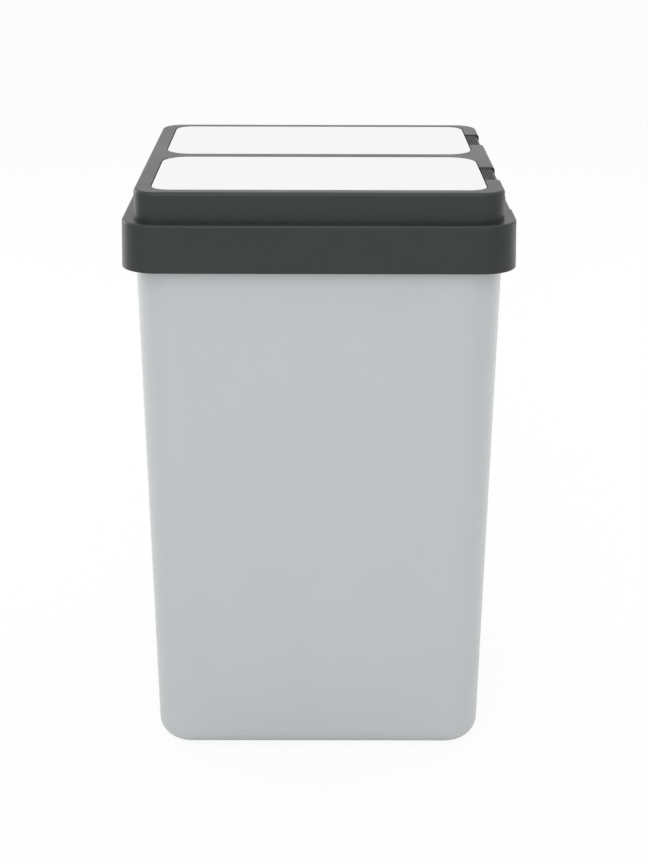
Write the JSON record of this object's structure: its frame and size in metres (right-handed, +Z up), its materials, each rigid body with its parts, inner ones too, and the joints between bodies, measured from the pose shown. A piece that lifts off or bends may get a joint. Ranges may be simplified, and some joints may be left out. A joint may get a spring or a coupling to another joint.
{
  "type": "double recycling bin",
  "caption": "Square floor bin with two inner buckets, a stepped collar frame and two side-hinged white lids, each let go by a ribbed press catch.",
  "frame": {"origin": "on the floor under the middle of the bin", "axes": "+Z up, -Y towards the front compartment, +X towards the catches, the lids hinge on the -X side"},
  "size_m": [0.35, 0.35, 0.559],
  "materials": {
    "bucket_silver": "satin moulded polypropylene, light silver grey",
    "frame_anthracite": "satin moulded polypropylene, anthracite",
    "lid_white": "semi-gloss moulded polypropylene, white",
    "catch_anthracite": "satin moulded polypropylene with ribs",
    "inner_grey": "matt moulded polypropylene, dark grey",
    "grip_black": "satin black polypropylene",
    "bail_steel": "bright zinc-plated steel wire",
    "pin_steel": "drawn steel rod",
    "spring_steel": "spring steel wire"
  },
  "bodies": {
    "outer_bucket": {"outer_bucket": "bucket_silver"},
    "frame": {"lid_frame": "frame_anthracite", "hinge_pin_front": "pin_steel", "hinge_spring_front": "spring_steel", "catch_pin_front": "pin_steel", "catch_spring_front": "spring_steel", "hinge_pin_back": "pin_steel", "hinge_spring_back": "spring_steel", "catch_pin_back": "pin_steel", "catch_spring_back": "spring_steel"},
    "lid_front": {"lid_front": "lid_white"},
    "catch_front": {"catch_front": "catch_anthracite"},
    "inner_bucket_front": {"inner_bucket_front": "inner_grey"},
    "bail_front": {"bail_front": "bail_steel", "bail_grip_front": "grip_black"},
    "lid_back": {"lid_back": "lid_white"},
    "catch_back": {"catch_back": "catch_anthracite"},
    "inner_bucket_back": {"inner_bucket_back": "inner_grey"},
    "bail_back": {"bail_back": "bail_steel", "bail_grip_back": "grip_black"}
  },
  "joints": [
    {"name": "frame_lift", "type": "slide", "parent": "outer_bucket", "child": "frame", "axis": [0, 0, 1], "range_m": [0, 0.75]},
    {"name": "lid_front_hinge", "type": "hinge", "parent": "frame", "child": "lid_front", "pos_m": [-0.1559, -0.07865, 0.551], "axis": [0, -1, 0], "range_deg": [0, 88], "deforming": ["hinge_spring_front"]},
    {"name": "catch_front_press", "type": "hinge", "parent": "frame", "child": "catch_front", "pos_m": [0.1542, -0.08065, 0.5523], "axis": [0, -1, 0], "range_deg": [0, 8], "stiffness_Nm_per_rad": 0.05, "deforming": ["catch_spring_front"]},
    {"name": "inner_bucket_front_lift", "type": "slide", "parent": "outer_bucket", "child": "inner_bucket_front", "axis": [0, 0, 1], "range_m": [0, 0.5625]},
    {"name": "bail_front_raise", "type": "hinge", "parent": "inner_bucket_front", "child": "bail_front", "pos_m": [0, -0.0767, 0.5215], "axis": [-1, 0, 0], "range_deg": [0, 90]},
    {"name": "lid_back_hinge", "type": "hinge", "parent": "frame", "child": "lid_back", "pos_m": [-0.1559, 0.07865, 0.551], "axis": [0, -1, 0], "range_deg": [0, 88], "deforming": ["hinge_spring_back"]},
    {"name": "catch_back_press", "type": "hinge", "parent": "frame", "child": "catch_back", "pos_m": [0.1542, 0.08065, 0.5523], "axis": [0, -1, 0], "range_deg": [0, 8], "stiffness_Nm_per_rad": 0.05, "deforming": ["catch_spring_back"]},
    {"name": "inner_bucket_back_lift", "type": "slide", "parent": "outer_bucket", "child": "inner_bucket_back", "axis": [0, 0, 1], "range_m": [0, 0.5625]},
    {"name": "bail_back_raise", "type": "hinge", "parent": "inner_bucket_back", "child": "bail_back", "pos_m": [0, 0.0767, 0.5215], "axis": [1, 0, 0], "range_deg": [0, 90]}
  ],
  "couplings": [
    {"joint": "inner_bucket_front_lift", "follows": "frame_lift", "ratio": 0.75},
    {"joint": "bail_front_raise", "follows": "frame_lift", "rad_per_m": 2.0944},
    {"joint": "inner_bucket_back_lift", "follows": "frame_lift", "ratio": 0.75},
    {"joint": "bail_back_raise", "follows": "frame_lift", "rad_per_m": 2.0944}
  ]
}
